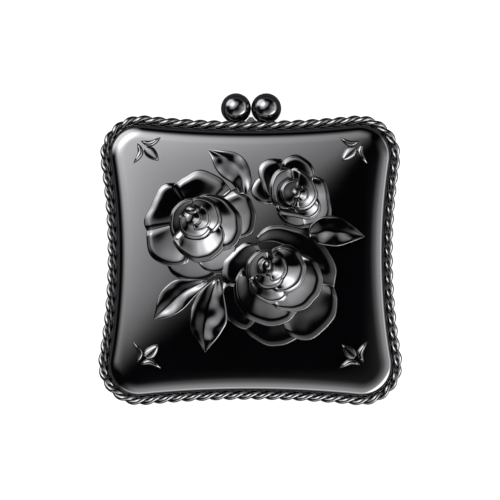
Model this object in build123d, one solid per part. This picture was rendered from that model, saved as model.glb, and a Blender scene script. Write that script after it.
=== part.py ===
from build123d import *
import math
import os

# Powder compact, closed and lying on its base.
# +Z is up through the lid, +Y points to the clasp, the hinge is at -Y.
# The origin is on the flat underside of the base, below the middle of the body.

# Outline of the body: four round corners joined by sides that bow inward.
corner_radius = 10.9
upper_corner_x = 28.8
upper_corner_y = 27.5
lower_corner_x = 29.3
lower_corner_y = -27.4
side_waist = 8.65
end_waist = 9.4

# How far each wall stands inside the outline.
base_inset = 2.7
flange_inset = 0.5
rim_inset = 2.0
groove_inset = 2.5
panel_inset = 2.9
wall = 1.4
fit_gap = 0.05
frame_inset = 3.65
frame_lift = 0.1
seat_ledge = 0.7

# Heights of the stack.
floor_thickness = 1.2
base_bottom_round = 3.0
base_top = 9.0
tray_top = 8.8
lid_bottom = 9.2
rope_bottom = 9.9
rope_diameter = 2.4
rope_round = 1.15
lip_top = 11.8
panel_bottom = 11.2
panel_ceiling = 12.9
crown_top = 16.8
crown_radius = 400.0
panel_thickness = 1.5
panel_round = 1.2

# Raised flowers, leaves and corner marks: place, size and height above their root.
relief_root = 15.4
roses = ((-14.3, 10.5, 13.0), (11.0, 17.8, 9.6), (7.5, -5.0, 15.5))
petal_rounds = ((5, 0.55, 0.42, 1.9), (3, 0.27, 0.36, 2.8), (1, 0.0, 0.25, 3.6))
petal_turn = 20.0
leaves = (
    (-11.0, 29.0, -1.0, 19.5, 3.2),
    (29.8, 6.2, 16.5, 8.0, 2.6),
    (-25.0, -15.2, -11.0, -5.5, 3.2),
    (-12.0, -23.8, -7.5, -6.0, 3.6),
)
leaf_root = 14.6
leaf_height = 2.0
mark_bottom = 13.6
mark_top = 15.4
mark_width = 1.1
end_mark = (26.5, 31.2, 5.4)
side_mark = (29.3, 28.3, 5.2)
bead_mark = (26.0, 28.0, 2.8)
bead_round = 0.9

# Powder pan and what lies on it.
well_radius = 28.5
well_wall = 1.0
well_floor = 2.4
pan_radius = 28.0
pan_wall = 0.4
pan_bottom = 2.9
pan_top = 6.3
pad_radius = 10.0
cake_drop = 0.2
cake_round = 0.3
film_gap = 0.1
film_thickness = 0.15
tab_width = 5.0
tab_length = 3.2
puff_radius = 26.5
puff_bottom = 6.8
puff_top = 10.6
puff_round = 1.5
ribbon_width = 11.0
ribbon_length = 48.0
ribbon_thickness = 0.25
scoop_radius = 4.2
scoop_y = 27.0
scoop_wall_drop = 2.0
scoop_drop = 1.0
release_y = -16.0
release_radius = 1.5
tray_release_radius = 3.0

# Mirror.
mirror_inset = 4.4
mirror_thickness = 1.2
tape_thickness = 0.5
tape_outer_inset = 4.6
tape_inner_inset = 6.4
window_inset = 6.0
mirror_pocket_inset = 4.3
panel_void_inset = 6.5

# Hinge.
hinge_y = -35.8
hinge_z = 6.0
knuckle_radius = 1.2
pin_radius = 0.5
hinge_half_length = 12.0
lid_knuckle_half = 6.0
knuckle_gap = 0.2
running_gap = 0.05
lug_overhang = 0.4
lug_overlap = 0.4
lug_depth = 1.3

# Clasp knobs.
knob_radius = 3.88
knob_y = 40.6
knob_z = 8.0
lid_knob_x = -3.85
base_knob_x = 4.3
pivot_y = 35.7
rivet_radius = 0.35
bracket_width = 5.0
bracket_bottom = 6.9
bracket_front = 36.3
lid_bracket_back = 34.7
base_bracket_back = 34.0
base_bracket_top = 8.9
pocket_back = 34.95
pocket_width = 2.6
pocket_gap = 0.1
web_left = -1.0
web_front = 38.3
web_top = 7.9
web_gap = 0.4
web_overlap = 0.1
tongue_width = 1.6
tongue_thickness = 0.9
tongue_overlap = 0.6
eye_radius = 0.7

corners = [
    Vector(upper_corner_x, upper_corner_y),
    Vector(-upper_corner_x, upper_corner_y),
    Vector(-lower_corner_x, lower_corner_y),
    Vector(lower_corner_x, lower_corner_y),
]
waists = [end_waist, side_waist, end_waist, side_waist]


def side_arc(index):
    """Centre, outward normal and middle of the hollow side after a corner."""
    start, end = corners[index], corners[(index + 1) % 4]
    run = end - start
    normal = Vector(run.Y, -run.X).normalized()
    middle = (start + end) * 0.5
    half, depth = run.length / 2, waists[index]
    radius = (half**2 + depth**2 - corner_radius**2) / (2 * (corner_radius - depth))
    return middle + normal * (depth + radius), normal, middle


def outline(inset):
    """Body outline moved inward, as eight tangent arcs."""
    radius = corner_radius - inset
    edges = []
    for index in range(4):
        centre, normal, middle = side_arc(index)
        following = side_arc((index + 1) % 4)[0]
        start, end = corners[index], corners[(index + 1) % 4]
        leave = start + (centre - start).normalized() * radius
        arrive = end + (centre - end).normalized() * radius
        turn = end + (following - end).normalized() * radius
        waist = middle + normal * (waists[index] - inset)
        bulge = end + (arrive + turn - end * 2).normalized() * radius
        edges.append(ThreePointArc(leave, waist, arrive))
        edges.append(ThreePointArc(arrive, bulge, turn))
    return Face(Wire(edges))


def plate(inset, low, high):
    """Slab with the body outline between two heights."""
    return extrude(Pos(0, 0, low) * outline(inset), high - low)


def ring(outer_inset, inner_inset, low, high):
    """Frame of the body outline with an open middle."""
    return plate(outer_inset, low, high) - plate(inner_inset, low, high)


def disc(radius, low, high, x=0, y=0):
    """Upright round slab between two heights."""
    return Pos(x, y, (low + high) / 2) * Cylinder(radius, high - low)


def block(x_low, x_high, y_low, y_high, z_low, z_high):
    """Straight block given by its faces."""
    middle = Pos((x_low + x_high) / 2, (y_low + y_high) / 2, (z_low + z_high) / 2)
    return middle * Box(x_high - x_low, y_high - y_low, z_high - z_low)


def hinge_rod(radius, x_low, x_high):
    """Rod on the hinge axis."""
    place = Pos((x_low + x_high) / 2, hinge_y, hinge_z) * Rot(0, 90, 0)
    return place * Cylinder(radius, x_high - x_low)


def crown(drop):
    """Ball whose top is the crown of the lid, lowered by a distance."""
    return Pos(0, 0, crown_top - crown_radius) * Sphere(crown_radius - drop)


def top_edges(solid):
    return solid.edges().group_by(Axis.Z)[-1]


def bottom_edges(solid):
    return solid.edges().group_by(Axis.Z)[0]


def base_shell():
    """Lower shell with the two outer hinge knuckles."""
    body = fillet(bottom_edges(plate(base_inset, 0, base_top)), base_bottom_round)
    inner_face = corners[2].Y - end_waist + base_inset + lug_overlap
    for x_low, x_high in (
        (-hinge_half_length, -lid_knuckle_half - knuckle_gap),
        (lid_knuckle_half + knuckle_gap, hinge_half_length),
    ):
        body += hinge_rod(knuckle_radius, x_low, x_high)
        body += block(x_low, x_high, hinge_y, inner_face, hinge_z - knuckle_radius, hinge_z + knuckle_radius)
    body -= plate(base_inset + wall, floor_thickness, base_top)
    body -= hinge_rod(pin_radius, -hinge_half_length, hinge_half_length)
    return body - disc(release_radius, 0, floor_thickness, 0, release_y)


def base_tray():
    """Inner tray: top plate, skirt, round pan well and a finger scoop."""
    inset = base_inset + wall + fit_gap
    tray = plate(inset, tray_top - floor_thickness, tray_top)
    tray += ring(inset, inset + well_wall, floor_thickness, tray_top - floor_thickness)
    tray += disc(well_radius + well_wall, well_floor - well_wall, tray_top)
    tray += disc(scoop_radius + well_wall, pan_top - scoop_wall_drop, tray_top, 0, scoop_y)
    tray -= disc(well_radius, well_floor, tray_top)
    tray -= disc(scoop_radius, pan_top - scoop_drop, tray_top, 0, scoop_y)
    return tray - disc(tray_release_radius, well_floor - well_wall, well_floor, 0, release_y)


def powder_pan():
    """Shallow metal dish."""
    return disc(pan_radius, pan_bottom, pan_top) - disc(pan_radius - pan_wall, pan_bottom + pan_wall, pan_top)


def powder_cake():
    """Pressed powder that fills the dish."""
    cake = disc(pan_radius - pan_wall, pan_bottom + pan_wall, pan_top - cake_drop)
    return fillet(top_edges(cake), cake_round)


def divider_film():
    """Clear disc with a lifting tab, between powder and puff."""
    low = pan_top + film_gap
    film = disc(pan_radius - film_gap, low, low + film_thickness)
    return film + block(
        -tab_width / 2, tab_width / 2, scoop_y, scoop_y + tab_length, low, low + film_thickness
    )


def powder_puff():
    """Round flat puff with soft edges."""
    puff = disc(puff_radius, puff_bottom, puff_top)
    return fillet(top_edges(puff) + bottom_edges(puff), puff_round)


def puff_ribbon():
    """Finger band across the top of the puff."""
    return block(
        -ribbon_length / 2, ribbon_length / 2, -ribbon_width / 2, ribbon_width / 2,
        puff_top, puff_top + ribbon_thickness,
    )


def lid_rim():
    """Lid rim: flange under the rope, wall, seat for the panel and the middle hinge knuckle."""
    rim = plate(flange_inset, lid_bottom, rope_bottom) + plate(rim_inset, rope_bottom, lip_top)
    rim -= plate(groove_inset, panel_bottom, lip_top)
    rim -= plate(panel_inset + seat_ledge, lid_bottom, panel_bottom)
    lug_back = hinge_y - lug_overhang
    rim += block(-lid_knuckle_half, lid_knuckle_half, lug_back, lug_back + lug_depth, hinge_z, lid_bottom)
    rim += hinge_rod(knuckle_radius, -lid_knuckle_half, lid_knuckle_half)
    return rim - hinge_rod(pin_radius + running_gap, -lid_knuckle_half, lid_knuckle_half)


def lid_rope_trim():
    """Round rope moulding that runs along the rim."""
    trim = fillet(bottom_edges(plate(0, rope_bottom, rope_bottom + rope_diameter)), rope_round)
    trim = fillet(top_edges(trim), rope_round)
    return trim - plate(rim_inset, rope_bottom, rope_bottom + rope_diameter)


def rose(x, y, radius):
    """Open rose: a bud inside an inner and an outer round of petals."""
    bloom = []
    for count, reach, size, height in petal_rounds:
        for number in range(count):
            turn = math.radians(number * 360 / count + petal_turn)
            petal_x = x + radius * reach * math.cos(turn)
            petal_y = y + radius * reach * math.sin(turn)
            bloom.append(disc(radius * size, relief_root, relief_root + height, petal_x, petal_y))
    return bloom


def leaf(tip_x, tip_y, stem_x, stem_y, half_width):
    """Pointed leaf between a tip and a stem."""
    tip, stem = Vector(tip_x, tip_y), Vector(stem_x, stem_y)
    middle, along = (tip + stem) * 0.5, (stem - tip).normalized()
    across = Vector(-along.Y, along.X) * half_width
    blade = Face(Wire([ThreePointArc(tip, middle + across, stem), ThreePointArc(stem, middle - across, tip)]))
    return extrude(Pos(0, 0, leaf_root) * blade, leaf_height)


def corner_ornament(side_x, side_y):
    """Two raised bars and a bead near one corner."""
    tall = mark_top - mark_bottom
    marks = []
    for (x, y, length), turn in ((end_mark, 0), (side_mark, 90)):
        bar = Rot(0, 0, turn) * extrude(SlotOverall(length, mark_width), tall)
        marks.append(Pos(side_x * x, side_y * y, mark_bottom) * bar)
    x, y, size = bead_mark
    bead = extrude(RectangleRounded(size, size, bead_round), tall)
    return marks + [Pos(side_x * x, side_y * y, mark_bottom) * bead]


def lid_panel():
    """Domed lid panel with the raised flowers, hollow underneath."""
    panel = plate(panel_inset, panel_bottom, crown_top + 1) & crown(0)
    panel = fillet(panel.edges().filter_by(lambda edge: edge.center().Z > panel_ceiling), panel_round)
    raised = [petal for place in roses for petal in rose(*place)]
    raised += [leaf(*place) for place in leaves]
    for side_x in (-1, 1):
        for side_y in (-1, 1):
            raised += corner_ornament(side_x, side_y)
    for solid in raised:
        panel += solid
    panel -= plate(mirror_pocket_inset, panel_bottom, panel_ceiling)
    void = plate(panel_void_inset, panel_ceiling, crown_top) & crown(panel_thickness)
    return panel - void


def mirror_frame():
    """Frame inside the lid that holds the mirror."""
    return ring(frame_inset, window_inset, lid_bottom + frame_lift, panel_bottom)


def mirror():
    return plate(mirror_inset, panel_bottom, panel_bottom + mirror_thickness)


def mirror_tape():
    """Mounting tape between mirror and panel."""
    low = panel_bottom + mirror_thickness
    return ring(tape_outer_inset, tape_inner_inset, low, low + tape_thickness)


def bracket(x, back, top):
    """Clasp bracket: a block with a pocket for the tongue and a hole for the rivet."""
    half, pocket_half = bracket_width / 2, pocket_width / 2
    pocket_low = knob_z - tongue_thickness / 2 - pocket_gap
    pocket_high = knob_z + tongue_thickness / 2 + pocket_gap
    body = block(x - half, x + half, back, bracket_front, bracket_bottom, top)
    body -= block(x - pocket_half, x + pocket_half, pocket_back, bracket_front, pocket_low, pocket_high)
    return body - disc(rivet_radius, bracket_bottom, top, x, pivot_y)


def lid_clasp_bracket():
    return bracket(lid_knob_x, lid_bracket_back, lid_bottom)


def base_clasp_bracket():
    """Bracket on the front wall, with the web that fills the gap between the knobs."""
    body = bracket(base_knob_x, base_bracket_back, base_bracket_top)
    web_right = base_knob_x - bracket_width / 2 + web_overlap
    web = block(web_left, web_right, base_bracket_back, web_front, bracket_bottom, web_top)
    for x in (lid_knob_x, base_knob_x):
        web -= disc(knob_radius + web_gap, bracket_bottom, base_top, x, knob_y)
    return body + web - plate(base_inset, 0, base_top)


def rivet(x, top):
    """Pin that the knob turns on."""
    return disc(rivet_radius, bracket_bottom, top, x, pivot_y)


def knob(x):
    """Round knob with its tongue and eye."""
    low, high = knob_z - tongue_thickness / 2, knob_z + tongue_thickness / 2
    body = Pos(x, knob_y, knob_z) * Sphere(knob_radius)
    tongue_end = knob_y - knob_radius + tongue_overlap
    body += block(x - tongue_width / 2, x + tongue_width / 2, pivot_y, tongue_end, low, high)
    body += disc(eye_radius, low, high, x, pivot_y)
    return body - disc(rivet_radius + running_gap, low, high, x, pivot_y)


nodes = {
    "base_shell": base_shell(),
    "base_tray": base_tray(),
    "pan_pad": disc(pad_radius, well_floor, pan_bottom),
    "powder_pan": powder_pan(),
    "powder_cake": powder_cake(),
    "divider_film": divider_film(),
    "powder_puff": powder_puff(),
    "puff_ribbon": puff_ribbon(),
    "hinge_pin": hinge_rod(pin_radius, -hinge_half_length, hinge_half_length),
    "base_clasp_bracket": base_clasp_bracket(),
    "base_clasp_rivet": rivet(base_knob_x, base_bracket_top),
    "base_clasp_knob": knob(base_knob_x),
    "lid_rim": lid_rim(),
    "lid_rope_trim": lid_rope_trim(),
    "lid_panel": lid_panel(),
    "mirror_frame": mirror_frame(),
    "mirror": mirror(),
    "mirror_tape": mirror_tape(),
    "lid_clasp_bracket": lid_clasp_bracket(),
    "lid_clasp_rivet": rivet(lid_knob_x, lid_bottom),
    "lid_clasp_knob": knob(lid_knob_x),
}

os.makedirs("parts", exist_ok=True)
for name, solid in nodes.items():
    export_step(solid, f"parts/{name}.step")
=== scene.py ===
import math

import bmesh
import bpy
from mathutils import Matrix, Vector, noise
from mathutils.bvhtree import BVHTree


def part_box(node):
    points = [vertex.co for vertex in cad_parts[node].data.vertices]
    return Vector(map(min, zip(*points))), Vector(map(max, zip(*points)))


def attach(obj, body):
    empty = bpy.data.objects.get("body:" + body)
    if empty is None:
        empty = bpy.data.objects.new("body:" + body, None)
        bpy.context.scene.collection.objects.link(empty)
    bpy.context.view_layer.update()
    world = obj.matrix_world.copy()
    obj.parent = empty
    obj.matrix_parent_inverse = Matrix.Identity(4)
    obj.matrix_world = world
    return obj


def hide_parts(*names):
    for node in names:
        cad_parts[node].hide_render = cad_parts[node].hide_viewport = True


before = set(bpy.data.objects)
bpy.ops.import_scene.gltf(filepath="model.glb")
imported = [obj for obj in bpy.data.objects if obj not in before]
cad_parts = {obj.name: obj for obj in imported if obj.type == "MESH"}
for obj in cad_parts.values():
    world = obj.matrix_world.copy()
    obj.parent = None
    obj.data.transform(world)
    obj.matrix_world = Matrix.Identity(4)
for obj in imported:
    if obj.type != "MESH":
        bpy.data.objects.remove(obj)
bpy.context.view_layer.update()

mm = 0.001
bpy.context.scene.view_settings.view_transform = "Standard"
print("frame loaded:", len(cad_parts), "parts")


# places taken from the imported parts, in millimetres
def partBox(node):
    low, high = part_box(node)
    return low / mm, high / mm


panelLow = partBox("lid_panel")[0]
ropeLow, ropeHigh = partBox("lid_rope_trim")


# body outline: round corners joined by hollow sides
bodyOutline = {
    "cornerRadius": 10.9,
    "upperCorner": (28.8, 27.5),
    "lowerCorner": (29.3, -27.4),
    "endWaist": 9.4,
    "sideWaist": 8.65,
    "sideSteps": 40,
    "cornerSteps": 30,
}


def outlineCorners():
    ux, uy = bodyOutline["upperCorner"]
    lx, ly = bodyOutline["lowerCorner"]
    return [Vector((ux, uy)), Vector((-ux, uy)), Vector((-lx, ly)), Vector((lx, ly))]


def sideCentre(index):
    corners = outlineCorners()
    waists = [bodyOutline["endWaist"], bodyOutline["sideWaist"]] * 2
    start, end, depth = corners[index], corners[(index + 1) % 4], waists[index]
    run = end - start
    normal = Vector((run.y, -run.x)).normalized()
    corner = bodyOutline["cornerRadius"]
    radius = ((run.length / 2) ** 2 + depth**2 - corner**2) / (2 * (corner - depth))
    return (start + end) / 2 + normal * (depth + radius)


def arcPoints(centre, start, end, steps):
    first, last = start - centre, end - centre
    turn = math.atan2(first.x * last.y - first.y * last.x, first.dot(last))
    points = []
    for step in range(steps):
        a = turn * step / steps
        c, s = math.cos(a), math.sin(a)
        points.append(centre + Vector((first.x * c - first.y * s, first.x * s + first.y * c)))
    return points


def outlinePoints(inset):
    corners = outlineCorners()
    radius = bodyOutline["cornerRadius"] - inset
    points = []
    for index in range(4):
        here, there = corners[index], corners[(index + 1) % 4]
        centre, following = sideCentre(index), sideCentre((index + 1) % 4)
        leave = here + (centre - here).normalized() * radius
        arrive = there + (centre - there).normalized() * radius
        turn = there + (following - there).normalized() * radius
        points += arcPoints(centre, leave, arrive, bodyOutline["sideSteps"])
        points += arcPoints(there, arrive, turn, bodyOutline["cornerSteps"])
    return points


# mesh helpers
def makePiece(name, points, faces, body, material, replaces=()):
    mesh = bpy.data.meshes.new(name)
    mesh.from_pydata([tuple(c * mm for c in p) for p in points], [], faces)
    bm = bmesh.new()
    bm.from_mesh(mesh)
    bmesh.ops.recalc_face_normals(bm, faces=bm.faces)
    bm.to_mesh(mesh)
    bm.free()
    mesh.polygons.foreach_set("use_smooth", [True] * len(mesh.polygons))
    piece = bpy.data.objects.new(name, mesh)
    bpy.context.scene.collection.objects.link(piece)
    mesh.materials.append(material)
    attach(piece, body)
    if replaces:
        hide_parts(*replaces)
    return piece


class Shell:
    # gathers rings of points into one mesh
    def __init__(self):
        self.points, self.faces = [], []

    def loft(self, rings, capStart=False, capEnd=False, closedAlong=False):
        first = len(self.points)
        count = len(rings[0])
        for ring in rings:
            self.points += [tuple(p) for p in ring]
        total = len(rings)
        for row in range(total if closedAlong else total - 1):
            a, b = first + row * count, first + ((row + 1) % total) * count
            for k in range(count):
                n = (k + 1) % count
                self.faces.append((a + k, a + n, b + n, b + k))
        if capStart:
            self.faces.append(tuple(first + k for k in range(count)))
        if capEnd:
            self.faces.append(tuple(first + (total - 1) * count + k for k in range(count)))

    def fan(self, ring, centre):
        first = len(self.points)
        self.points += [tuple(p) for p in ring] + [tuple(centre)]
        hub = first + len(ring)
        for k in range(len(ring)):
            self.faces.append((first + k, first + (k + 1) % len(ring), hub))

    def weld(self, distance=0.0005):
        bm = bmesh.new()
        verts = [bm.verts.new(p) for p in self.points]
        for face in self.faces:
            bm.faces.new([verts[i] for i in face])
        bmesh.ops.remove_doubles(bm, verts=bm.verts, dist=distance)
        bm.verts.index_update()
        self.points = [tuple(v.co) for v in bm.verts]
        self.faces = [tuple(v.index for v in f.verts) for f in bm.faces]
        bm.free()


def outlineRing(inset, height):
    return [(p.x, p.y, height) for p in outlinePoints(inset)]


def circleRing(radius, height, count=96, x=0.0, y=0.0):
    turns = [2 * math.pi * k / count for k in range(count)]
    return [(x + radius * math.cos(a), y + radius * math.sin(a), height) for a in turns]


def smoothCurve(values, t):
    # curve through evenly spaced values
    place = min(max(t, 0.0), 1.0) * (len(values) - 1)
    k = min(int(place), len(values) - 2)
    u = place - k
    a = values[max(k - 1, 0)]
    b, c = values[k], values[k + 1]
    d = values[min(k + 2, len(values) - 1)]
    slope, bend, twist = c - a, 2 * a - 5 * b + 4 * c - d, 3 * b - a - 3 * c + d
    return 0.5 * (2 * b + slope * u + bend * u * u + twist * u**3)


def curvePoint(points, t):
    return smoothCurve([p[0] for p in points], t), smoothCurve([p[1] for p in points], t)


def ease(x):
    x = min(max(x, 0.0), 1.0)
    return x * x * (3 - 2 * x)


# materials
def newMaterial(name):
    material = bpy.data.materials.new(name)
    material.use_nodes = True
    nodes, links = material.node_tree.nodes, material.node_tree.links
    return material, nodes, links, nodes["Principled BSDF"]


def addNoise(nodes, links, scale, detail=4.0):
    coords = nodes.new("ShaderNodeTexCoord")
    texture = nodes.new("ShaderNodeTexNoise")
    texture.inputs["Scale"].default_value = scale
    texture.inputs["Detail"].default_value = detail
    links.new(coords.outputs["Object"], texture.inputs["Vector"])
    return texture


def spread(nodes, links, source, low, high):
    # maps a 0 to 1 pattern onto a range
    remap = nodes.new("ShaderNodeMapRange")
    remap.inputs["From Min"].default_value = 0.3
    remap.inputs["From Max"].default_value = 0.7
    remap.inputs["To Min"].default_value = low
    remap.inputs["To Max"].default_value = high
    links.new(source, remap.inputs["Value"])
    return remap.outputs["Result"]


def blendColours(nodes, links, source, first, second):
    mix = nodes.new("ShaderNodeMix")
    mix.data_type = "RGBA"
    mix.inputs["A"].default_value = (*first, 1)
    mix.inputs["B"].default_value = (*second, 1)
    links.new(source, mix.inputs["Factor"])
    return mix.outputs["Result"]


def addBump(nodes, links, source, shader, strength, distance):
    bump = nodes.new("ShaderNodeBump")
    bump.inputs["Strength"].default_value = strength
    bump.inputs["Distance"].default_value = distance
    links.new(source, bump.inputs["Height"])
    links.new(bump.outputs["Normal"], shader.inputs["Normal"])
    return bump


def blackLacquer(name, look):
    material, nodes, links, shader = newMaterial(name)
    shader.inputs["IOR"].default_value = look["ior"]
    cloud = addNoise(nodes, links, look["cloudScale"])
    tone = blendColours(nodes, links, cloud.outputs["Fac"], look["dark"], look["light"])
    links.new(tone, shader.inputs["Base Color"])
    haze = addNoise(nodes, links, look["hazeScale"], 6.0)
    gloss = spread(nodes, links, haze.outputs["Fac"], look["roughLow"], look["roughHigh"])
    links.new(gloss, shader.inputs["Roughness"])
    peel = addNoise(nodes, links, look["peelScale"], 2.0)
    addBump(nodes, links, peel.outputs["Fac"], shader, look["peelStrength"], 0.0001)
    return material


lacquerLook = {
    "ior": 2.3,
    "dark": (0.0005, 0.0005, 0.0007),
    "light": (0.0014, 0.0014, 0.0018),
    "cloudScale": 60.0,
    "hazeScale": 220.0,
    "roughLow": 0.035,
    "roughHigh": 0.065,
    "peelScale": 450.0,
    "peelStrength": 0.02,
}
lidLacquer = blackLacquer("deepBlackLacquer", lacquerLook)
petalLacquer = blackLacquer("petalBlackLacquer", {**lacquerLook, "ior": 2.0, "roughLow": 0.05,
                                                  "roughHigh": 0.08})
caseLacquer = blackLacquer("caseBlackLacquer", {**lacquerLook, "roughLow": 0.05, "roughHigh": 0.09})
ropeLacquer = blackLacquer("ropeBlackLacquer", {**lacquerLook, "roughLow": 0.04, "roughHigh": 0.07})
knobLacquer = blackLacquer("knobBlackLacquer", {**lacquerLook, "roughLow": 0.1, "roughHigh": 0.14})
trayPlastic = blackLacquer("traySatinPlastic", {**lacquerLook, "ior": 1.5, "light": (0.006, 0.006, 0.007),
                                                "roughLow": 0.16, "roughHigh": 0.24})


def metalFinish(name, colour, roughLow, roughHigh, scale):
    material, nodes, links, shader = newMaterial(name)
    shader.inputs["Metallic"].default_value = 1.0
    grain = addNoise(nodes, links, scale, 5.0)
    darker = tuple(c * 0.9 for c in colour)
    links.new(blendColours(nodes, links, grain.outputs["Fac"], darker, colour), shader.inputs["Base Color"])
    links.new(spread(nodes, links, grain.outputs["Fac"], roughLow, roughHigh), shader.inputs["Roughness"])
    addBump(nodes, links, grain.outputs["Fac"], shader, 0.03, 0.0001)
    return material


panMetal = metalFinish("drawnPanMetal", (0.82, 0.82, 0.83), 0.18, 0.32, 300.0)
pinSteel = metalFinish("pinSteel", (0.62, 0.62, 0.64), 0.2, 0.35, 500.0)
mirrorSilver = metalFinish("mirrorSilver", (0.93, 0.94, 0.95), 0.0, 0.02, 80.0)


def pressedPowder():
    material, nodes, links, shader = newMaterial("pressedPowder")
    grain = addNoise(nodes, links, 1800.0, 8.0)
    links.new(blendColours(nodes, links, grain.outputs["Fac"], (0.46, 0.25, 0.16), (0.58, 0.36, 0.25)),
              shader.inputs["Base Color"])
    shader.inputs["Roughness"].default_value = 0.9
    shader.inputs["Sheen Weight"].default_value = 0.15
    addBump(nodes, links, grain.outputs["Fac"], shader, 0.25, 0.00015)
    return material


def puffVelour():
    material, nodes, links, shader = newMaterial("puffVelour")
    pile = addNoise(nodes, links, 2600.0, 6.0)
    patches = addNoise(nodes, links, 120.0, 3.0)
    links.new(blendColours(nodes, links, patches.outputs["Fac"], (0.50, 0.35, 0.28), (0.62, 0.46, 0.38)),
              shader.inputs["Base Color"])
    shader.inputs["Roughness"].default_value = 0.95
    shader.inputs["Sheen Weight"].default_value = 0.6
    addBump(nodes, links, pile.outputs["Fac"], shader, 0.5, 0.0002)
    return material


def satinRibbon():
    material, nodes, links, shader = newMaterial("satinRibbon")
    coords = nodes.new("ShaderNodeTexCoord")
    weave = nodes.new("ShaderNodeTexWave")
    weave.bands_direction = "X"
    weave.inputs["Scale"].default_value = 900.0
    weave.inputs["Distortion"].default_value = 0.4
    links.new(coords.outputs["Object"], weave.inputs["Vector"])
    links.new(blendColours(nodes, links, weave.outputs["Fac"], (0.012, 0.012, 0.014), (0.035, 0.035, 0.04)),
              shader.inputs["Base Color"])
    shader.inputs["Roughness"].default_value = 0.32
    shader.inputs["Sheen Weight"].default_value = 0.3
    addBump(nodes, links, weave.outputs["Fac"], shader, 0.3, 0.00005)
    return material


def clearFilm():
    material, nodes, links, shader = newMaterial("clearFilm")
    haze = addNoise(nodes, links, 90.0)
    links.new(blendColours(nodes, links, haze.outputs["Fac"], (0.9, 0.93, 0.95), (1.0, 1.0, 1.0)),
              shader.inputs["Base Color"])
    shader.inputs["Roughness"].default_value = 0.06
    shader.inputs["Alpha"].default_value = 0.22
    return material


def foamTape():
    material, nodes, links, shader = newMaterial("foamTape")
    cells = addNoise(nodes, links, 1500.0)
    links.new(blendColours(nodes, links, cells.outputs["Fac"], (0.72, 0.72, 0.69), (0.88, 0.88, 0.85)),
              shader.inputs["Base Color"])
    shader.inputs["Roughness"].default_value = 0.85
    addBump(nodes, links, cells.outputs["Fac"], shader, 0.3, 0.0001)
    return material


powderMaterial, puffMaterial, ribbonMaterial = pressedPowder(), puffVelour(), satinRibbon()
filmMaterial, tapeMaterial = clearFilm(), foamTape()
print("materials ready")


# camera, floor and light come first, so every look uses the same picture
view = {"lens": 100.0, "sensor": 36.0, "frameWidth": 132.45, "centre": (-0.05, 2.78), "targetHeight": 11.0}


def setCamera():
    camera = bpy.data.objects.new("camera", bpy.data.cameras.new("camera"))
    bpy.context.scene.collection.objects.link(camera)
    camera.data.lens = view["lens"]
    camera.data.sensor_width = view["sensor"]
    distance = view["frameWidth"] * view["lens"] / view["sensor"]
    x, y = view["centre"]
    camera.location = Vector((x, y, view["targetHeight"] + distance)) * mm
    camera.data.clip_start = 0.01
    camera.data.clip_end = 20.0
    bpy.context.scene.camera = camera


studioFloor = {"half": 3.0, "drop": 0.02, "glow": 0.86, "dark": (0.27, 0.27, 0.27), "light": (0.3, 0.3, 0.3)}


def makeFloor():
    mesh = bpy.data.meshes.new("studioFloor")
    half = studioFloor["half"]
    corners = [(-half, -half, 0), (half, -half, 0), (half, half, 0), (-half, half, 0)]
    mesh.from_pydata(corners, [], [(0, 1, 2, 3)])
    floor = bpy.data.objects.new("studioFloor", mesh)
    bpy.context.scene.collection.objects.link(floor)
    material, nodes, links, shader = newMaterial("paleFloor")
    cloud = addNoise(nodes, links, 3.0)
    tone = blendColours(nodes, links, cloud.outputs["Fac"], studioFloor["dark"], studioFloor["light"])
    links.new(tone, shader.inputs["Base Color"])
    shader.inputs["Roughness"].default_value = 0.9
    shader.inputs["Specular IOR Level"].default_value = 0.0
    shader.inputs["Emission Color"].default_value = (1, 1, 1, 1)
    shader.inputs["Emission Strength"].default_value = studioFloor["glow"]
    # seen from underneath the floor is clear, so the base shows
    geometry = nodes.new("ShaderNodeNewGeometry")
    clear = nodes.new("ShaderNodeBsdfTransparent")
    mix = nodes.new("ShaderNodeMixShader")
    links.new(geometry.outputs["Backfacing"], mix.inputs["Fac"])
    links.new(shader.outputs["BSDF"], mix.inputs[1])
    links.new(clear.outputs["BSDF"], mix.inputs[2])
    links.new(mix.outputs["Shader"], nodes["Material Output"].inputs["Surface"])
    mesh.materials.append(material)
    floor.location.z = -studioFloor["drop"] * mm
    floor.visible_glossy = False  # the lacquer mirrors the dark studio, not the floor


# a pair of numbers is where a light fades, from dark to bright
studio = {
    "tint": (0.975, 0.97, 1.0, 1),
    "strength": 0.577,  # overhead screen
    "towardLeft": (3.5, 1.15),  # how fast it brightens, and the most it may
    "towardTop": (3.6, 1.3),
    "screenRim": (0.84, 0.55),
    "diagonal": (-0.05, 0.13),
    "rightEdge": (0.16, 0.02),
    "nearEdge": (-0.26, -0.04),
    "key": 4.4,
    "keyFrom": (-0.68, 0.50, 0.54),
    "keySpread": (0.78, 0.96),
    "keyLow": (0.12, 0.42),
    "facing": (0.0, 0.45),  # the room is on the right and near sides only
    "room": 1.2,
    "roomRight": (0.32, 0.06),
    "roomNear": (-0.48, -0.12),
    "roomFrom": (0.5, 0.88),
    "roomTo": (0.995, 0.95),
    "corner": (0.78, 0.95),
    "cornerGlow": 9.0,
    "fill": 0.4,
    "fillFrom": (0.28, 0.55),
    "horizon": 0.2,
    "horizonFrom": (0.42, 0.12),
    "rimGlow": 1.6,
    "rimFrom": (0.90, 0.96),
    "rimTo": (0.995, 0.97),
    "above": (-0.05, 0.05),
    "ground": 0.1,
    "groundFrom": (0.05, -0.25),
}


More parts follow.
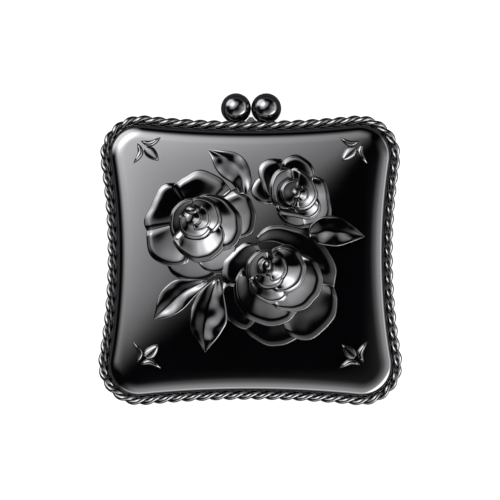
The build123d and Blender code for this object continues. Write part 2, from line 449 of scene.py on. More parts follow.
def setStudio():
    world = bpy.data.worlds.new("studio")
    bpy.context.scene.world = world
    world.use_nodes = True
    nodes, links = world.node_tree.nodes, world.node_tree.links
    background = nodes["Background"]
    coords = nodes.new("ShaderNodeTexCoord")
    split = nodes.new("ShaderNodeSeparateXYZ")
    links.new(coords.outputs["Generated"], split.inputs["Vector"])
    dx, dy, dz = split.outputs["X"], split.outputs["Y"], split.outputs["Z"]

    def calc(operation, a, b=None, c=None):
        node = nodes.new("ShaderNodeMath")
        node.operation = operation
        for socket, value in zip(node.inputs, (a, b, c)):
            if value is None:
                continue
            if isinstance(value, (int, float)):
                socket.default_value = value
            else:
                links.new(value, socket)
        return node.outputs[0]

    def fade(value, dark, bright):
        node = nodes.new("ShaderNodeMapRange")
        node.interpolation_type = "SMOOTHSTEP"
        links.new(value, node.inputs["Value"])
        node.inputs["From Min"].default_value = min(dark, bright)
        node.inputs["From Max"].default_value = max(dark, bright)
        node.inputs["To Min"].default_value = 0.0 if dark < bright else 1.0
        node.inputs["To Max"].default_value = 1.0 if dark < bright else 0.0
        return node.outputs["Result"]

    def along(x, y, z=0.0):
        total = calc("MULTIPLY_ADD", dx, x, calc("MULTIPLY", dy, y))
        return calc("MULTIPLY_ADD", dz, z, total) if z else total

    side = calc("SQRT", calc("MULTIPLY_ADD", dx, dx, calc("MULTIPLY", dy, dy)))
    # overhead screen over the upper left half, growing brighter outwards
    leftward = calc("MINIMUM", calc("MULTIPLY", dx, -studio["towardLeft"][0]), studio["towardLeft"][1])
    upward = calc("MINIMUM", calc("MULTIPLY", dy, studio["towardTop"][0]), studio["towardTop"][1])
    screen = calc("MULTIPLY", calc("EXPONENT", calc("ADD", leftward, upward)), studio["strength"])
    edges = {"diagonal": along(-0.8, 1.0), "rightEdge": along(1.0, -0.45), "nearEdge": dy,
             "screenRim": side}
    for edge, value in edges.items():
        screen = calc("MULTIPLY", screen, fade(value, *studio[edge]))
    # low key light at the upper left
    key = calc("MULTIPLY", fade(along(*studio["keyFrom"]), *studio["keySpread"]), studio["key"])
    key = calc("MULTIPLY", key, fade(dy, *studio["keyLow"]))
    # pale room low down on the right and near sides, brightest in the corner
    facing = fade(along(1.0, -1.0), *studio["facing"])
    room = calc("MULTIPLY", fade(side, *studio["roomFrom"]), fade(side, *studio["roomTo"]))
    walls = calc("MULTIPLY", fade(dy, *studio["roomRight"]), fade(dx, *studio["roomNear"]))
    room = calc("MULTIPLY", room, walls)
    corner = fade(along(0.7071, -0.7071), *studio["corner"])
    glow = calc("MULTIPLY_ADD", corner, studio["cornerGlow"], studio["room"])
    room = calc("MULTIPLY", room, glow)
    room = calc("MULTIPLY_ADD", fade(side, *studio["fillFrom"]), studio["fill"], room)
    total = calc("ADD", calc("ADD", screen, key), calc("MULTIPLY", room, facing))
    total = calc("MULTIPLY_ADD", fade(dz, *studio["horizonFrom"]), studio["horizon"], total)
    band = calc("MULTIPLY", fade(side, *studio["rimFrom"]), fade(side, *studio["rimTo"]))
    total = calc("MULTIPLY_ADD", calc("MULTIPLY", band, facing), studio["rimGlow"], total)
    below = calc("MULTIPLY", fade(dz, *studio["groundFrom"]), studio["ground"])
    total = calc("MULTIPLY_ADD", total, fade(dz, *studio["above"]), below)
    links.new(total, background.inputs["Strength"])
    background.inputs["Color"].default_value = studio["tint"]


setCamera()
makeFloor()
setStudio()
print("camera, floor and light ready")


# lid panel: a pillow with level edges
lidPanel = {
    "edgeInset": 2.5,
    "edgeWidth": 3.6,
    "edgeDrop": 1.7,
    "rise": 1.8,
    "squareness": 0.6,
    "shoulder": 0.7,
    "crown": 16.8,
    "seatInset": 4.3,
    "ceiling": 12.9,
    "centreRings": 30,
    "halfWide": 37.7,
    "halfHigh": 36.8,
}


def domeHeight(x, y):
    u, v = (x / lidPanel["halfWide"]) ** 2, (y / lidPanel["halfHigh"]) ** 2
    fall = lidPanel["rise"] * (u + v - lidPanel["squareness"] * u * v)
    return lidPanel["crown"] - fall - lidPanel["shoulder"] * (u**3 + v**3 - u**3 * v**3)


def domeRing(inset, drop=0.0):
    return [(p.x, p.y, domeHeight(p.x, p.y) - drop) for p in outlinePoints(inset)]


def makeLidPanel():
    seat = panelLow.z
    rings = [outlineRing(lidPanel["edgeInset"] + 0.05, seat)]
    for k in range(13):
        a = math.radians(90 * k / 12)
        inset = lidPanel["edgeInset"] + lidPanel["edgeWidth"] * (1 - math.cos(a))
        rings.append(domeRing(inset, lidPanel["edgeDrop"] * (1 - math.sin(a))))
    outer = outlinePoints(lidPanel["edgeInset"] + lidPanel["edgeWidth"] + 0.5)
    count = lidPanel["centreRings"]
    for k in range(count):
        scale = 1 - k / count
        rings.append([(p.x * scale, p.y * scale, domeHeight(p.x * scale, p.y * scale)) for p in outer])
    panel = Shell()
    panel.loft(rings)
    panel.fan(rings[-1], (0, 0, domeHeight(0, 0)))
    under = [outlineRing(lidPanel["edgeInset"] + 0.05, seat), outlineRing(lidPanel["seatInset"], seat),
             outlineRing(lidPanel["seatInset"], lidPanel["ceiling"])]
    panel.loft(under)
    panel.fan(under[-1], (0, 0, lidPanel["ceiling"]))
    panel.weld()
    makePiece("lidPanel", panel.points, panel.faces, "lid", lidLacquer, ["lid_panel"])


makeLidPanel()
print("lid panel done")


# roses: every petal is a closed shell that grows out of the panel
petalLook = {
    "cupSteps": 14,
    "rimRound": 0.42,
    "root": -0.5,
    "ripple": 0.035,
    "rippleScale": 0.3,
    "wave": 0.35,  # how far the rim wanders in and out
    "waveScale": 0.33,
}


def petalHeight(s, low, top, edge, crest):
    if s < crest:
        u = s / crest
        return low + (top - low) * (0.6 * u**1.4 + 0.4 * (0.5 - 0.5 * math.cos(math.pi * u)))
    return top - (top - edge) * ((s - crest) / (1 - crest)) ** 2


def addPetal(shell, centre, petal, seed):
    start, end, reach, inner, top = petal[:5]
    shape = {"lowShare": 0.3, "edge": top * 0.74, "crest": 0.84, "shift": (0, 0),
             "round": petalLook["rimRound"]}
    for own in petal[5:]:
        shape.update(own)
    centre = (centre[0] + shape["shift"][0], centre[1] + shape["shift"][1])
    steps = max(16, int(abs(end - start) / 3))
    rows = []
    for i in range(steps + 1):
        t = i / steps
        a = math.radians(start + (end - start) * t)
        out = smoothCurve(reach, t)
        rim = Vector((centre[0] + out * math.cos(a), centre[1] + out * math.sin(a), seed * 3.1))
        out += noise.noise(rim * petalLook["waveScale"]) * petalLook["wave"] * min(1.0, out / 8)
        fade = ease(min(t, 1 - t) / 0.12)
        inside = min(inner, out - 0.6)
        r = min(shape["round"], (out - inside) * 0.3)
        profile = []
        for j in range(petalLook["cupSteps"] + 1):
            s = j / petalLook["cupSteps"]
            h = petalHeight(s, top * shape["lowShare"], top, shape["edge"], shape["crest"])
            profile.append((inside + (out - r - inside) * s, h * (0.35 + 0.65 * fade)))
        edge = profile[-1][1]
        profile += [(out - 0.62 * r, edge - 0.07 * r), (out - 0.29 * r, edge - 0.29 * r),
                    (out - 0.07 * r, edge - 0.62 * r), (out, edge - r), (out + 0.02, edge - 2 * r),
                    (out + 0.1, petalLook["root"]), (inside, petalLook["root"])]
        row = []
        for radius, height in profile:
            x, y = centre[0] + radius * math.cos(a), centre[1] + radius * math.sin(a)
            wave = noise.noise(Vector((x, y, seed * 1.7)) * petalLook["rippleScale"]) * petalLook["ripple"]
            row.append((x, y, domeHeight(x, y) + height + (wave if height > 0 else 0)))
        rows.append(row)
    shell.loft(rows, capStart=True, capEnd=True)


def addBead(shell, bead):
    # low round bead: place, half width, half depth, height and how far it is lifted
    cx, cy, halfX, halfY, height, lift = bead
    rings = []
    for j in range(9):
        a = math.radians(90 * j / 8)
        ring = []
        for k in range(28):
            b = 2 * math.pi * k / 28
            x, y = cx + halfX * math.cos(a) * math.cos(b), cy + halfY * math.cos(a) * math.sin(b)
            ring.append((x, y, domeHeight(x, y) + lift + height * math.sin(a)))
        rings.append(ring)
    foot = [(x, y, z - lift - 0.5) for x, y, z in rings[0]]
    shell.loft([foot] + rings[:-1], capStart=True, capEnd=True)


# each petal: start and end angle, reach along its rim, inner radius, height
budPetal = {"crest": 0.88, "lowShare": 0.62, "round": 0.3}  # petals close round a bud
leftRose = {
    "centre": (-14.5, 11.0),
    "petals": [
        (230, 300, [13.0, 15.6, 16.8, 16.6, 15.2], 9.0, 0.75, {"crest": 0.86}),
        (272, 332, [11.8, 15.2, 16.2, 15.4, 12.8], 9.0, 0.9, {"crest": 0.86}),
        (118, 199, [10.6, 12.2, 12.0, 11.9, 13.5, 12.4], 5.0, 1.05, {"crest": 0.84}),
        (192, 263, [12.6, 14.4, 14.9, 13.8, 11.7], 6.5, 1.1, {"crest": 0.85}),
        (-30, 37, [12.2, 15.6, 16.0, 15.3, 13.0], 8.0, 1.05, {"crest": 0.84}),
        (37, 125, [12.2, 12.7, 12.9, 11.4, 10.4], 4.8, 1.25, {"crest": 0.76}),
        (-54, 78, [11.2, 12.9, 12.3, 10.3, 7.9, 6.2], 4.5, 1.7, {"crest": 0.84}),
        (224, 353, [8.2, 10.0, 11.3, 11.4, 9.8, 6.8], 4.5, 1.8, {"crest": 0.84}),
        (76, 238, [5.1, 5.5, 6.1, 6.8, 7.7], 3.0, 1.95, budPetal),
        (-50, 112, [6.0, 6.9, 6.8, 5.9, 4.9], 2.6, 2.05, budPetal),
        (150, 345, [3.9, 4.3, 5.1, 5.5, 5.0], 1.8, 2.2, budPetal),
        (-110, 76, [2.9, 3.6, 4.4, 4.5, 3.9], 0.9, 2.35, budPetal),
        (-84, 70, [2.3, 2.8, 2.7], 0.3, 2.45, {**budPetal, "shift": (-0.8, 0.2)}),
    ],
    "beads": [(-15.7, 10.9, 1.9, 2.5, 1.0, 0.8), (-15.1, 13.2, 2.0, 1.35, 1.5, 1.2)],
}
lowerRose = {
    "centre": (5.0, -2.0),
    "petals": [
        (228, 296, [17.5, 16.8, 18.4, 20.2, 20.4, 19.6], 12.0, 0.65),
        (282, 345, [17.6, 21.2, 21.6, 20.7, 17.4], 11.0, 1.0, {"crest": 0.86}),
        (196, 256, [12.8, 15.4, 16.8, 17.4, 16.6], 8.5, 0.9, {"crest": 0.84}),
        (-18, 113, [17.6, 17.2, 15.1, 13.5, 12.2, 11.0, 9.2], 7.0, 1.15, {"crest": 0.8}),
        (116, 214, [7.4, 9.6, 10.6, 12.3, 12.6, 9.8], 4.8, 1.15, {"crest": 0.8}),
        (176, 306, [6.8, 9.4, 11.6, 13.8, 14.9, 15.1, 13.5], 6.0, 1.45, {"crest": 0.87}),
        (-90, 26, [9.8, 12.4, 14.3, 14.6, 13.0, 9.6], 5.5, 1.7, {"crest": 0.85}),
        (203, 313, [5.8, 7.3, 8.9, 9.5, 8.2], 4.2, 1.85, {"crest": 0.86}),
        (-88, 82, [6.0, 7.6, 9.0, 9.6, 9.0, 7.6, 5.0], 3.2, 2.0, {"crest": 0.82}),
        (84, 222, [4.6, 5.2, 5.7, 6.0, 6.2], 2.8, 2.0, budPetal),
        (200, 335, [4.7, 5.2, 5.0, 4.5], 1.9, 2.15, budPetal),
        (-100, 92, [3.3, 4.1, 4.6, 4.4, 3.8], 1.2, 2.3, budPetal),
        (104, 262, [2.7, 3.0, 3.0, 2.7], 0.6, 2.35, {**budPetal, "shift": (-0.1, 0.4)}),
    ],
    "beads": [(5.3, -2.0, 1.6, 1.9, 1.0, 0.9), (4.6, -1.2, 1.2, 1.6, 1.5, 1.2)],
}
smallRose = {
    "centre": (12.2, 17.5),
    "petals": [
        (150, 203, [10.2, 11.6, 12.0, 10.8, 7.6], 6.0, 0.55),
        (222, 296, [7.2, 8.0, 9.0, 9.4, 9.4], 5.0, 0.7),
        (-88, 50, [9.2, 9.4, 10.9, 9.4, 8.1, 7.9, 6.4], 5.0, 0.85, {"crest": 0.85}),
        (114, 199, [9.9, 11.9, 12.0, 9.8, 8.2, 6.5], 4.5, 0.95, {"crest": 0.84}),
        (38, 121, [5.9, 7.7, 9.1, 10.2, 10.0, 8.6], 4.0, 1.05, {"crest": 0.84}),
        (200, 350, [6.6, 7.0, 6.2, 6.4, 7.7, 7.5, 5.6], 3.8, 1.35, {"crest": 0.85}),
        (100, 254, [7.4, 8.0, 7.5, 7.0, 5.8, 3.8], 3.6, 1.6, {"crest": 0.86, "lowShare": 0.12}),
        (-106, 106, [3.8, 4.6, 5.4, 5.2, 5.6, 7.2], 1.9, 1.7, budPetal),
        (70, 256, [3.6, 4.4, 4.2, 3.4], 1.0, 1.85, budPetal),
        (-96, 72, [2.2, 2.9, 3.0, 2.6], 0.4, 1.95, {**budPetal, "shift": (0.1, -0.2)}),
    ],
    "beads": [(12.0, 17.6, 1.3, 1.5, 1.1, 0.9)],
}


def makeRose(name, rose, seed):
    shell = Shell()
    for number, petal in enumerate(rose["petals"]):
        addPetal(shell, rose["centre"], petal, seed + number)
    for bead in rose["beads"]:
        addBead(shell, bead)
    makePiece(name, shell.points, shell.faces, "lid", petalLacquer)


makeRose("roseLeft", leftRose, 3)
makeRose("roseLower", lowerRose, 31)
makeRose("roseSmall", smallRose, 57)
print("roses done")


# leaves: two puffed halves either side of a sunk vein
leafLook = {
    "steps": 30,
    "halfSteps": 9,
    "vein": 0.7,
    "puff": 1.15,
    "margin": 0.42,
    "root": -0.5,
    "ripple": 0.3,
    "rippleScale": 0.3,
}
leaves = {
    "leafTop": {
        "left": [(-11.2, 29.1), (-7.5, 28.8), (-3.8, 28.2), (-1.2, 26.2), (0.1, 23.6), (0.5, 20.5),
                 (-0.5, 17.5)],
        "vein": [(-11.2, 29.1), (-6.2, 26.6), (-2.8, 23.0), (-1.5, 17.5)],
        "right": [(-11.2, 29.1), (-10.2, 26.8), (-9.2, 24.2), (-7.4, 22.0), (-4.8, 20.2), (-3.0, 17.5)],
    },
    "leafRight": {
        "left": [(30.0, 6.3), (27.6, 8.4), (24.6, 10.6), (21.2, 11.7), (18.2, 11.2), (15.5, 9.0)],
        "vein": [(30.0, 6.3), (24.5, 7.3), (20.0, 7.6), (15.5, 7.0)],
        "right": [(30.0, 6.3), (26.6, 4.9), (23.0, 3.8), (19.4, 4.1), (15.5, 5.0)],
    },
    "leafLeft": {
        "left": [(-25.3, -15.5), (-24.6, -12.2), (-23.8, -9.0), (-21.6, -6.3), (-19.0, -4.8), (-15.5, -4.8),
                 (-11.0, -5.0)],
        "vein": [(-25.3, -15.5), (-21.4, -11.6), (-16.8, -7.9), (-11.0, -5.2)],
        "right": [(-25.3, -15.5), (-21.0, -14.7), (-17.4, -12.6), (-14.6, -9.6), (-11.0, -5.6)],
    },
    "leafLower": {
        "left": [(-11.8, -24.0), (-13.4, -21.2), (-15.2, -18.4), (-15.7, -15.0), (-15.0, -11.5),
                 (-13.0, -8.0), (-9.2, -4.8)],
        "vein": [(-11.8, -24.0), (-12.0, -18.0), (-11.2, -12.0), (-8.6, -4.8)],
        "right": [(-11.8, -24.0), (-9.6, -21.4), (-7.4, -18.6), (-6.0, -15.6), (-6.6, -10.0), (-8.0, -4.8)],
    },
}


def makeLeaf(name, leaf):
    shell = Shell()
    rows = []
    half = leafLook["halfSteps"]
    for i in range(leafLook["steps"] + 1):
        t = i / leafLook["steps"]
        width = ease(t / 0.25)
        vein = curvePoint(leaf["vein"], t)
        row = []
        for side in ("left", "right"):
            margin = curvePoint(leaf[side], t)
            line = []
            for j in range(half + 1):
                s = j / half
                swell = math.sin(math.pi * s * 0.62) ** 1.3
                h = leafLook["vein"] + (leafLook["puff"] - leafLook["vein"]) * swell
                h = leafLook["margin"] + (h - leafLook["margin"]) * width
                line.append((vein[0] + (margin[0] - vein[0]) * s, vein[1] + (margin[1] - vein[1]) * s, h))
            x, y, h = line[-1]
            line += [(x, y, h - 0.14), (x, y, leafLook["root"])]
            row += line[::-1] if side == "left" else line[1:]
        lifted = []
        for x, y, h in row:
            wave = noise.noise(Vector((x, y, 0)) * leafLook["rippleScale"]) * leafLook["ripple"] * width
            lifted.append((x, y, domeHeight(x, y) + h + (wave if h > 0 else 0)))
        rows.append(lifted)
    shell.loft(rows, capEnd=True)
    shell.weld(0.002)
    makePiece(name, shell.points, shell.faces, "lid", petalLacquer)


for leafName, leafShape in leaves.items():
    makeLeaf(leafName, leafShape)
print("leaves done")


# corner ornaments: two crescents round a kite in each corner
# each has a middle line and the half widths along it, for the upper left corner
ornament = {
    "height": 1.0,
    "lowerShift": 4.2,
    "steps": 24,
    "around": 9,
    "endCrescent": ([(-28.7, 31.4), (-26.2, 30.7), (-23.5, 32.3)], [0.08, 0.58, 0.8, 0.55, 0.08]),
    "sideCrescent": ([(-29.6, 30.8), (-28.8, 28.3), (-30.6, 25.5)], [0.08, 0.58, 0.8, 0.55, 0.08]),
    "kite": ([(-27.4, 29.4), (-26.1, 28.3), (-24.1, 26.3)], [0.9, 1.35, 1.5, 1.1, 0.2]),
}


def addRidge(shell, line, halfWidths, mirrorX, lower):
    steps, around = ornament["steps"], ornament["around"]
    rows = []
    for i in range(steps + 1):
        t = i / steps
        x, y = curvePoint(line, t)
        x1, y1 = curvePoint(line, max(t - 0.02, 0.0))
        x2, y2 = curvePoint(line, min(t + 0.02, 1.0))
        along = Vector((x2 - x1, y2 - y1)).normalized()
        half = max(smoothCurve(halfWidths, t), 0.01)
        row = []
        for j in range(around):
            a = math.pi * j / (around - 1)
            px = (x - along.y * half * math.cos(a)) * mirrorX
            py = y + along.x * half * math.cos(a)
            py = ornament["lowerShift"] - py if lower else py
            lift = ornament["height"] * min(1.0, half / 0.5) * math.sin(a) ** 0.8
            row.append((px, py, domeHeight(px, py) + lift - 0.02))
        row += [(row[-1][0], row[-1][1], row[-1][2] - 0.4), (row[0][0], row[0][1], row[0][2] - 0.4)]
        rows.append(row)
    shell.loft(rows, capStart=True, capEnd=True)


def makeOrnaments():
    shell = Shell()
    for lower in (False, True):
        for mirrorX in (1, -1):
            for part in ("endCrescent", "sideCrescent", "kite"):
                addRidge(shell, *ornament[part], mirrorX, lower)
    makePiece("cornerOrnaments", shell.points, shell.faces, "lid", lidLacquer)


makeOrnaments()
print("corner ornaments done")


# rim, with a rounded lip and a groove round the panel
rim = {
    "low": 9.2,
    "flangeInset": 0.5,
    "flangeEase": 0.15,
    "wallInset": 1.95,
    "lipTop": 11.7,
    "lipRound": 0.35,
    "grooveInset": 2.35,
    "grooveFloor": 11.2,
    "innerInset": 3.6,
}
hingeKnuckle = {"y": -35.8, "z": 6.0, "half": 6.0, "outer": 1.2, "bore": 0.55, "around": 28, "lugTop": 9.35}


def addRim(shell):
    low, ledge, soften = rim["low"], ropeLow.z, rim["flangeEase"]
    lipStart = rim["lipTop"] - rim["lipRound"]
    flange, wall = rim["flangeInset"], rim["wallInset"]
    profile = [(rim["innerInset"], low), (flange + soften, low), (flange, low + soften), (flange, ledge),
               (wall, ledge), (wall, lipStart)]
    middle, half = (wall + rim["grooveInset"]) / 2, (rim["grooveInset"] - wall) / 2
    for k in range(7):
        a = math.radians(180 - 180 * k / 6)
        profile.append((middle + half * math.cos(a), lipStart + rim["lipRound"] * math.sin(a)))
    profile += [(rim["grooveInset"], rim["grooveFloor"]), (rim["innerInset"], rim["grooveFloor"])]
    shell.loft([outlineRing(inset, z) for inset, z in profile], closedAlong=True)


def addHingeLug(shell):
    # the middle knuckle and the lug that carries it
    y, z, half, top = (hingeKnuckle[key] for key in ("y", "z", "half", "lugTop"))
    outer, bore = hingeKnuckle["outer"], hingeKnuckle["bore"]
    turns = [2 * math.pi * k / hingeKnuckle["around"] for k in range(hingeKnuckle["around"])]
    ends = ((-half, bore), (-half, outer), (half, outer), (half, bore))
    shell.loft([[(x, y + r * math.cos(a), z + r * math.sin(a)) for a in turns] for x, r in ends],
               closedAlong=True)
    lug = [(y - 0.4, z + 0.9), (y - 0.4, top), (y + 0.9, top), (y + 0.9, z + 0.7)]
    shell.loft([[(x, py, pz) for py, pz in lug] for x in (-half, half)], capStart=True, capEnd=True)


def makeRim():
    shell = Shell()
    addRim(shell)
    addHingeLug(shell)
    makePiece("lidRim", shell.points, shell.faces, "lid", caseLacquer, ["lid_rim"])


makeRim()
print("rim done")


# rope moulding: two strands twisted round the rim
rope = {
    "inset": 1.15,
    "strandRadius": 0.68,
    "plump": 0.14,  # how much fatter a strand is where it lies on top
    "twistRadius": 0.56,
    "turns": 39,
    "stepsPerTurn": 20,
    "sides": 14,
}


def closedPath(points, count):
    # even steps along a closed line
    lengths = [0.0]
    for a, b in zip(points, points[1:] + points[:1]):
        lengths.append(lengths[-1] + (b - a).length)
    total, result, k = lengths[-1], [], 0
    for step in range(count):
        want = total * step / count
        while lengths[k + 1] < want:
            k += 1
        share = (want - lengths[k]) / max(lengths[k + 1] - lengths[k], 1e-9)
        result.append(points[k].lerp(points[(k + 1) % len(points)], share))
    return result


def makeRope():
    count = rope["turns"] * rope["stepsPerTurn"]
    middle = (ropeLow.z + ropeHigh.z) / 2
    path = closedPath(outlinePoints(rope["inset"]), count)
    shell = Shell()
    for strand in range(2):
        centres, radii = [], []
        for k, p in enumerate(path):
            along = (path[(k + 1) % count] - path[k - 1]).normalized()
            outward = Vector((along.y, -along.x, 0))
            a = 2 * math.pi * rope["turns"] * k / count + strand * math.pi
            radii.append(rope["strandRadius"] * (1 + rope["plump"] * math.sin(a)))
            centres.append(Vector((p.x, p.y, middle)) + outward * rope["twistRadius"] * math.cos(a)
                           + Vector((0, 0, 1)) * rope["twistRadius"] * math.sin(a))
        rings = []
        for k, c in enumerate(centres):
            along = (centres[(k + 1) % count] - centres[k - 1]).normalized()
            side = along.cross(Vector((0, 0, 1))).normalized()
            up = side.cross(along).normalized()
            turns = (2 * math.pi * j / rope["sides"] for j in range(rope["sides"]))
            rings.append([c + radii[k] * (side * math.cos(b) + up * math.sin(b)) for b in turns])
        shell.loft(rings, closedAlong=True)
    makePiece("lidRope", shell.points, shell.faces, "lid", ropeLacquer, ["lid_rope_trim"])


makeRope()
print("rope done")


# clasp knobs: a ball on a short neck, with a flat tongue and eye on the rivet
knob = {
    "radius": 4.03,
    "centreY": 40.6,
    "height": 8.0,
    "pivotY": 35.7,
    "neck": 0.75,
    "tongueWide": 1.4,
    "tongueThick": 0.9,
    "eye": 0.7,
    "hole": 0.36,
    "lidSide": -3.8,
    "baseSide": 4.28,
}


def makeKnob(name, x, body, node):
    shell = Shell()
    y, z = knob["centreY"], knob["height"]
    radius = knob["radius"]
    rows = []
    for k in range(1, 40):
        a = math.pi * k / 40
        along, away = -radius * math.cos(a), radius * math.sin(a)
        if along < 0 and away < knob["neck"] + 0.25:
            continue
        rows.append((y + along, away))
    rows = [(y - radius - 0.55, knob["neck"] * 0.8), (y - radius - 0.3, knob["neck"] * 0.82),
            (y - radius - 0.05, knob["neck"])] + rows
    turns = [2 * math.pi * j / 48 for j in range(48)]
    rings = [[(x + away * math.cos(a), along, z + away * math.sin(a)) for a in turns] for along, away in rows]
    shell.loft(rings, capStart=True, capEnd=True)
    half, thick = knob["tongueWide"] / 2, knob["tongueThick"] / 2
    corners = [(-half, -thick), (half, -thick), (half, thick), (-half, thick)]
    ends = (knob["pivotY"] + 0.5, y - radius - 0.4)
    shell.loft([[(x + u, along, z + v) for u, v in corners] for along in ends], capStart=True, capEnd=True)
    eye = [(knob["hole"], -thick), (knob["eye"], -thick), (knob["eye"], thick), (knob["hole"], thick)]
    shell.loft([circleRing(r, z + v, 32, x, knob["pivotY"]) for r, v in eye], closedAlong=True)
    makePiece(name, shell.points, shell.faces, body, knobLacquer, [node])


makeKnob("lidKnob", knob["lidSide"], "lid_knob", "lid_clasp_knob")
makeKnob("baseKnob", knob["baseSide"], "base_knob", "base_clasp_knob")
print("knobs done")


# powder pan with a rolled rim
pan = {"radius": 28.0, "sheet": 0.4, "bottom": 2.9, "rim": 6.3, "corner": 1.2, "bead": 0.32, "hub": 0.05}


def makePan():
    outer, inner, low = pan["radius"], pan["radius"] - pan["sheet"], pan["bottom"]
    corner, bead = pan["corner"], pan["bead"]
    floor = low + pan["sheet"]
    profile = [(pan["hub"], low)]
    for k in range(7):
        a = math.radians(-90 + 90 * k / 6)
        profile.append((outer - corner * (1 - math.cos(a)), low + corner * (1 + math.sin(a))))
    for k in range(13):
        a = math.radians(-60 + 240 * k / 12)
        profile.append((outer - bead + bead * math.cos(a), pan["rim"] - bead + bead * math.sin(a)))
    profile += [(inner, floor + 0.5), (inner - 0.5, floor), (pan["hub"], floor)]
    shell = Shell()
    shell.loft([circleRing(r, z, 128) for r, z in profile], closedAlong=True)
    makePiece("powderPan", shell.points, shell.faces, "base", panMetal, ["powder_pan"])


# pressed powder with a plain stamped flower
cake = {
    "radius": 27.55,
    "bottom": 3.3,
    "top": 6.1,
    "edge": 0.35,
    "groove": 0.2,
    "grooveWidth": 0.35,
    "rings": (23.2, 24.4),
    "petals": 8,
    "outerFlower": (13.0, 7.0),
    "innerFlower": (6.0, 3.4),
    "dot": 2.2,
    "steps": 130,
    "around": 256,
}


def stamp(r, a):
    # depth of the stamped lines at a place on the cake
    lines = [abs(r - ring) for ring in cake["rings"]]
    flowers = ((cake["outerFlower"], 0.0), (cake["innerFlower"], math.pi / cake["petals"]))
    for (reach, swell), turn in flowers:
        lobe = abs(math.cos(cake["petals"] / 2 * (a + turn)))
        lines.append(abs(r - reach - swell * lobe**0.6) * 0.75)
    lines.append(abs(r - cake["dot"]))
    depth = sum(max(0.0, 1 - line / cake["grooveWidth"]) ** 1.5 for line in lines)
    return cake["groove"] * min(depth, 1.0)


def makeCake():
    steps, around, top, edge = cake["steps"], cake["around"], cake["top"], cake["edge"]
    turns = [2 * math.pi * k / around for k in range(around)]
    flat = cake["radius"] - edge
    rows = [circleRing(cake["radius"], z, around) for z in (cake["bottom"], top - edge)]
    for k in range(1, 4):
        a = math.radians(30 * k)
        rows.append(circleRing(flat + edge * math.cos(a), top - edge * (1 - math.sin(a)), around))
    for k in range(1, steps):
        r = flat * (1 - k / steps)
        rows.append([(r * math.cos(a), r * math.sin(a), top - stamp(r, a)) for a in turns])
    shell = Shell()
    shell.loft(rows, capStart=True)
    shell.fan(rows[-1], (0, 0, top))
    shell.weld()
    makePiece("powderCake", shell.points, shell.faces, "base", powderMaterial,
              ["powder_cake"])


makePan()
makeCake()
print("pan and powder done")


# powder puff: blown up by a cloth simulation between its two sewn faces
puff = {
    "radius": 25.6,
    "low": 7.15,
    "high": 10.2,
    "tallest": 10.56,
    "edgeRound": 1.3,
    "voxel": 0.9,
    "enlarge": 20.0,  # the cloth is worked at a larger size, then brought back
    "pressure": 4.0,
    "frames": 20,
    "mostMove": 0.34,
    "seamBand": (1.2, 0.6),  # how far in and how far up the sewn edge is held
    "wrinkle": 0.06,
    "wrinkles": 46,
    "cushion": 0.10,
    "piping": 0.36,
    "stitches": 80,
}


def puffMiddle():
    return (puff["low"] + puff["high"]) / 2


def puffBlank():
    middle = puffMiddle()
    half = (puff["high"] - puff["low"]) / 2
    flat = puff["radius"] - puff["edgeRound"]
    rows = []
    for k in range(13):
        a = math.radians(-90 + 180 * k / 12)
        rows.append(circleRing(flat + puff["edgeRound"] * math.cos(a), middle + half * math.sin(a), 96))
    shell = Shell()
    shell.loft(rows, capStart=True, capEnd=True)
    return shell


def evaluatedMesh(piece):
    return bpy.data.meshes.new_from_object(piece.evaluated_get(bpy.context.evaluated_depsgraph_get()))


def inflate(mesh):
    scene = bpy.context.scene
    size = puff["enlarge"]
    work = bpy.data.objects.new("puffWork", mesh)
    scene.collection.objects.link(work)
    middle = puffMiddle() * mm * size
    inward, upward = puff["seamBand"]
    start = [v.co.copy() for v in mesh.vertices]
    seam = work.vertex_groups.new(name="seam")
    held = [v.index for v in mesh.vertices if abs(v.co.z - middle) < upward * mm * size
            and Vector(v.co[:2]).length > (puff["radius"] - inward) * mm * size]
    seam.add(held, 1.0, "REPLACE")
    cloth = work.modifiers.new("cloth", "CLOTH")
    cloth.settings.use_pressure = True
    cloth.settings.uniform_pressure_force = puff["pressure"]
    cloth.settings.vertex_group_mass = "seam"
    cloth.settings.effector_weights.gravity = 0.0
    cloth.settings.quality = 5
    cloth.point_cache.frame_start = 1
    cloth.point_cache.frame_end = puff["frames"]
    for frameNumber in range(1, puff["frames"] + 1):
        scene.frame_set(frameNumber)
    blown = evaluatedMesh(work)
    most = puff["mostMove"] * mm * size
    for before, vertex in zip(start, blown.vertices):
        move = vertex.co - before
        if move.length > most:
            vertex.co = before + move * (most / move.length)
    bpy.data.objects.remove(work)
    scene.frame_set(1)
    return blown


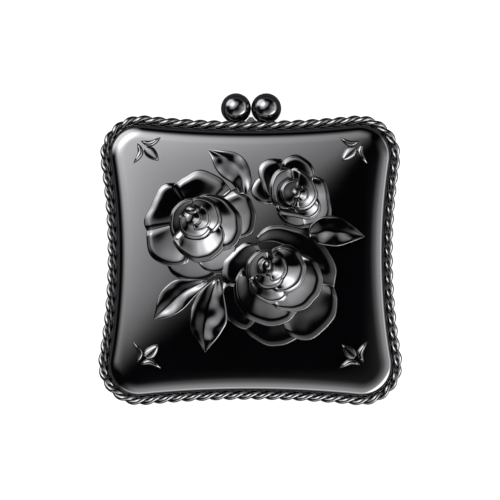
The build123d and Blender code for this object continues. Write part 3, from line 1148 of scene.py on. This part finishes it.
def makePuff():
    blank = puffBlank()
    size = puff["enlarge"]
    mesh = bpy.data.meshes.new("puffBlank")
    mesh.from_pydata([tuple(c * mm * size for c in p) for p in blank.points], [], blank.faces)
    rough = bpy.data.objects.new("puffRough", mesh)
    bpy.context.scene.collection.objects.link(rough)
    remesh = rough.modifiers.new("remesh", "REMESH")
    remesh.mode = "VOXEL"
    remesh.voxel_size = puff["voxel"] * mm * size
    mesh = evaluatedMesh(rough)
    bpy.data.objects.remove(rough)
    mesh = inflate(mesh)
    middle = puffMiddle()
    points = []
    for vertex in mesh.vertices:
        x, y, z = vertex.co / (mm * size)
        r = math.hypot(x, y)
        # faint wrinkles run in from the seam
        a = math.atan2(y, x)
        edge = ease((r - 17) / 8)
        fold = math.sin(puff["wrinkles"] * a + 2.2 * math.sin(5 * a))
        wrinkle = puff["wrinkle"] * edge * fold * (1 if z > middle else -1)
        cushion = puff["cushion"] * noise.noise(Vector((x, y, z)) * 0.16)
        points.append((x, y, z + wrinkle + cushion * ease((25 - r) / 4)))
    over = max(0.0, max(p[2] for p in points) - puff["tallest"])
    points = [(x, y, z - over if z > middle else z) for x, y, z in points]
    faces = [tuple(f.vertices) for f in mesh.polygons]
    piece = makePiece("powderPuff", points, faces, "base", puffMaterial, ["powder_puff"])
    fine = piece.modifiers.new("fine", "SUBSURF")
    fine.levels = fine.render_levels = 1
    return points, faces


def makePiping():
    middle = puffMiddle()
    rings = []
    for k in range(160):
        a = 2 * math.pi * k / 160
        thick = puff["piping"] * (1 + 0.08 * math.sin(puff["stitches"] * a))
        ring = []
        for j in range(10):
            b = 2 * math.pi * j / 10
            r = puff["radius"] + 0.05 + thick * math.cos(b)
            ring.append((r * math.cos(a), r * math.sin(a), middle + thick * math.sin(b)))
        rings.append(ring)
    shell = Shell()
    shell.loft(rings, closedAlong=True)
    makePiece("puffPiping", shell.points, shell.faces, "base", puffMaterial)


puffPoints, puffFaces = makePuff()
makePiping()
print("puff done")


# satin band across the puff, sewn down at both ends
ribbon = {
    "width": 11.0,
    "reach": 25.2,
    "thick": 0.16,
    "gap": 0.12,
    "lift": 0.14,
    "buckle": 0.05,
    "tallest": 10.95,
    "alongSteps": 72,
    "acrossSteps": 16,
}


def makeRibbon():
    tree = BVHTree.FromPolygons([Vector(p) for p in puffPoints], puffFaces)
    along, across = ribbon["alongSteps"], ribbon["acrossSteps"]
    highest = ribbon["tallest"] - ribbon["thick"]
    points, faces = [], []
    for i in range(along + 1):
        u = 2 * i / along - 1
        x = ribbon["reach"] * u
        for j in range(across + 1):
            v = 2 * j / across - 1
            y = ribbon["width"] / 2 * v * (1 - 0.05 * ease(1 - abs(u)))
            hit = tree.ray_cast(Vector((x, y, 14.0)), Vector((0, 0, -1)))[0]
            ground = hit.z if hit else 9.0
            arch = ribbon["lift"] * (1 - u * u) + ribbon["buckle"] * math.cos(3 * math.pi * v) * abs(u) ** 3
            points.append((x, y, min(ground + ribbon["gap"] + arch, highest)))
    for i in range(along):
        for j in range(across):
            a = i * (across + 1) + j
            faces.append((a, a + across + 1, a + across + 2, a + 1))
    piece = makePiece("puffRibbon", points, faces, "base", ribbonMaterial, ["puff_ribbon"])
    thick = piece.modifiers.new("thick", "SOLIDIFY")
    thick.thickness = ribbon["thick"] * mm
    thick.offset = -1.0


makeRibbon()
print("ribbon done")


# the plain parts keep their shape and get a finish, with their edges softened by this many mm
finishes = {
    "base_shell": (caseLacquer, 0),
    "base_tray": (trayPlastic, 0.3),
    "pan_pad": (tapeMaterial, 0.1),
    "divider_film": (filmMaterial, 0.05),
    "hinge_pin": (pinSteel, 0.12),
    "base_clasp_bracket": (caseLacquer, 0.2),
    "base_clasp_rivet": (pinSteel, 0.1),
    "mirror_frame": (trayPlastic, 0.35),
    "mirror": (mirrorSilver, 0.3),
    "mirror_tape": (tapeMaterial, 0.1),
    "lid_clasp_bracket": (caseLacquer, 0.2),
    "lid_clasp_rivet": (pinSteel, 0.1),
}
for node, (material, softness) in finishes.items():
    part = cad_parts[node]
    part.data.materials.clear()
    part.data.materials.append(material)
    if not softness:
        continue
    soften = part.modifiers.new("softEdge", "BEVEL")
    soften.width = softness * mm
    soften.segments = 3
    soften.limit_method = "ANGLE"
    soften.angle_limit = math.radians(35)
print("finishes set")
